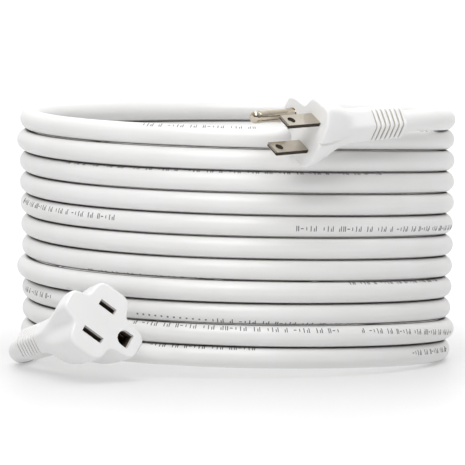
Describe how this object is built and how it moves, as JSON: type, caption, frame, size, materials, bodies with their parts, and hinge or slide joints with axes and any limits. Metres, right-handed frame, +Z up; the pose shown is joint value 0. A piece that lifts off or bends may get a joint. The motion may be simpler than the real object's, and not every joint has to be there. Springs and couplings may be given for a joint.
{
  "type": "extension cord",
  "caption": "Grounded extension cord wound into a round coil, with a moulded grounding plug at one end and a matching grounding connector at the other.",
  "frame": {"origin": "on the coil's axis, on the surface that the coil lies on", "axes": "+Z up along the coil's axis; -Y is the side that the plug and the connector stand off; +X to the right seen from that side"},
  "size_m": [0.1774, 0.2024, 0.1089],
  "materials": {
    "jacket": "satin white flexible PVC",
    "overmould": "satin white moulded PVC",
    "insert_plastic": "dark thermoplastic",
    "blade_metal": "nickel-plated brass",
    "contact_metal": "stamped brass",
    "copper": "bare stranded copper",
    "line_insulation": "black PVC",
    "neutral_insulation": "white PVC",
    "ground_insulation": "green PVC"
  },
  "bodies": {
    "root": {"coil": "jacket", "connector_body": "overmould", "connector_ground_contact": "contact_metal", "connector_ground_insulation": "ground_insulation", "connector_ground_strand": "copper", "connector_insert": "insert_plastic", "connector_insert_cap": "insert_plastic", "connector_lead": "jacket", "connector_line_contact": "contact_metal", "connector_line_insulation": "line_insulation", "connector_line_strand": "copper", "connector_neutral_contact": "contact_metal", "connector_neutral_insulation": "neutral_insulation", "connector_neutral_strand": "copper", "plug_body": "overmould", "plug_bridge": "insert_plastic", "plug_ground_insulation": "ground_insulation", "plug_ground_pin": "blade_metal", "plug_ground_strand": "copper", "plug_lead": "jacket", "plug_line_blade": "blade_metal", "plug_line_insulation": "line_insulation", "plug_line_strand": "copper", "plug_neutral_blade": "blade_metal", "plug_neutral_insulation": "neutral_insulation", "plug_neutral_strand": "copper"},
    "connector_ground_leaf_a": {"connector_ground_leaf_a": "contact_metal"},
    "connector_ground_leaf_b": {"connector_ground_leaf_b": "contact_metal"},
    "connector_line_leaf_a": {"connector_line_leaf_a": "contact_metal"},
    "connector_line_leaf_b": {"connector_line_leaf_b": "contact_metal"},
    "connector_neutral_leaf_a": {"connector_neutral_leaf_a": "contact_metal"},
    "connector_neutral_leaf_b": {"connector_neutral_leaf_b": "contact_metal"}
  },
  "joints": [
    {"name": "line_leaf_a_bend", "type": "hinge", "parent": "root", "child": "connector_line_leaf_a", "pos_m": [-0.05811, -0.087, 0.02402], "axis": [0.7591, 0.2838, -0.5859], "range_deg": [0, 3.5], "stiffness_Nm_per_rad": 0.0005},
    {"name": "line_leaf_b_bend", "type": "hinge", "parent": "root", "child": "connector_line_leaf_b", "pos_m": [-0.05666, -0.08543, 0.02666], "axis": [-0.7591, -0.2838, 0.5859], "range_deg": [0, 3.5], "stiffness_Nm_per_rad": 0.0005},
    {"name": "neutral_leaf_a_bend", "type": "hinge", "parent": "root", "child": "connector_neutral_leaf_a", "pos_m": [-0.06352, -0.09289, 0.01415], "axis": [0.7591, 0.2838, -0.5859], "range_deg": [0, 3.5], "stiffness_Nm_per_rad": 0.0005},
    {"name": "neutral_leaf_b_bend", "type": "hinge", "parent": "root", "child": "connector_neutral_leaf_b", "pos_m": [-0.06207, -0.09131, 0.0168], "axis": [-0.7591, -0.2838, 0.5859], "range_deg": [0, 3.5], "stiffness_Nm_per_rad": 0.0005},
    {"name": "ground_leaf_a_bend", "type": "hinge", "parent": "root", "child": "connector_ground_leaf_a", "pos_m": [-0.05221, -0.08703, 0.01134], "axis": [0.7591, 0.2838, -0.5859], "range_deg": [0, 3.5], "stiffness_Nm_per_rad": 0.0005},
    {"name": "ground_leaf_b_bend", "type": "hinge", "parent": "root", "child": "connector_ground_leaf_b", "pos_m": [-0.04991, -0.08453, 0.01553], "axis": [-0.7591, -0.2838, 0.5859], "range_deg": [0, 3.5], "stiffness_Nm_per_rad": 0.0005}
  ],
  "couplings": [
    {"joint": "line_leaf_b_bend", "follows": "line_leaf_a_bend", "ratio": 1},
    {"joint": "neutral_leaf_b_bend", "follows": "neutral_leaf_a_bend", "ratio": 1},
    {"joint": "ground_leaf_b_bend", "follows": "ground_leaf_a_bend", "ratio": 1}
  ]
}
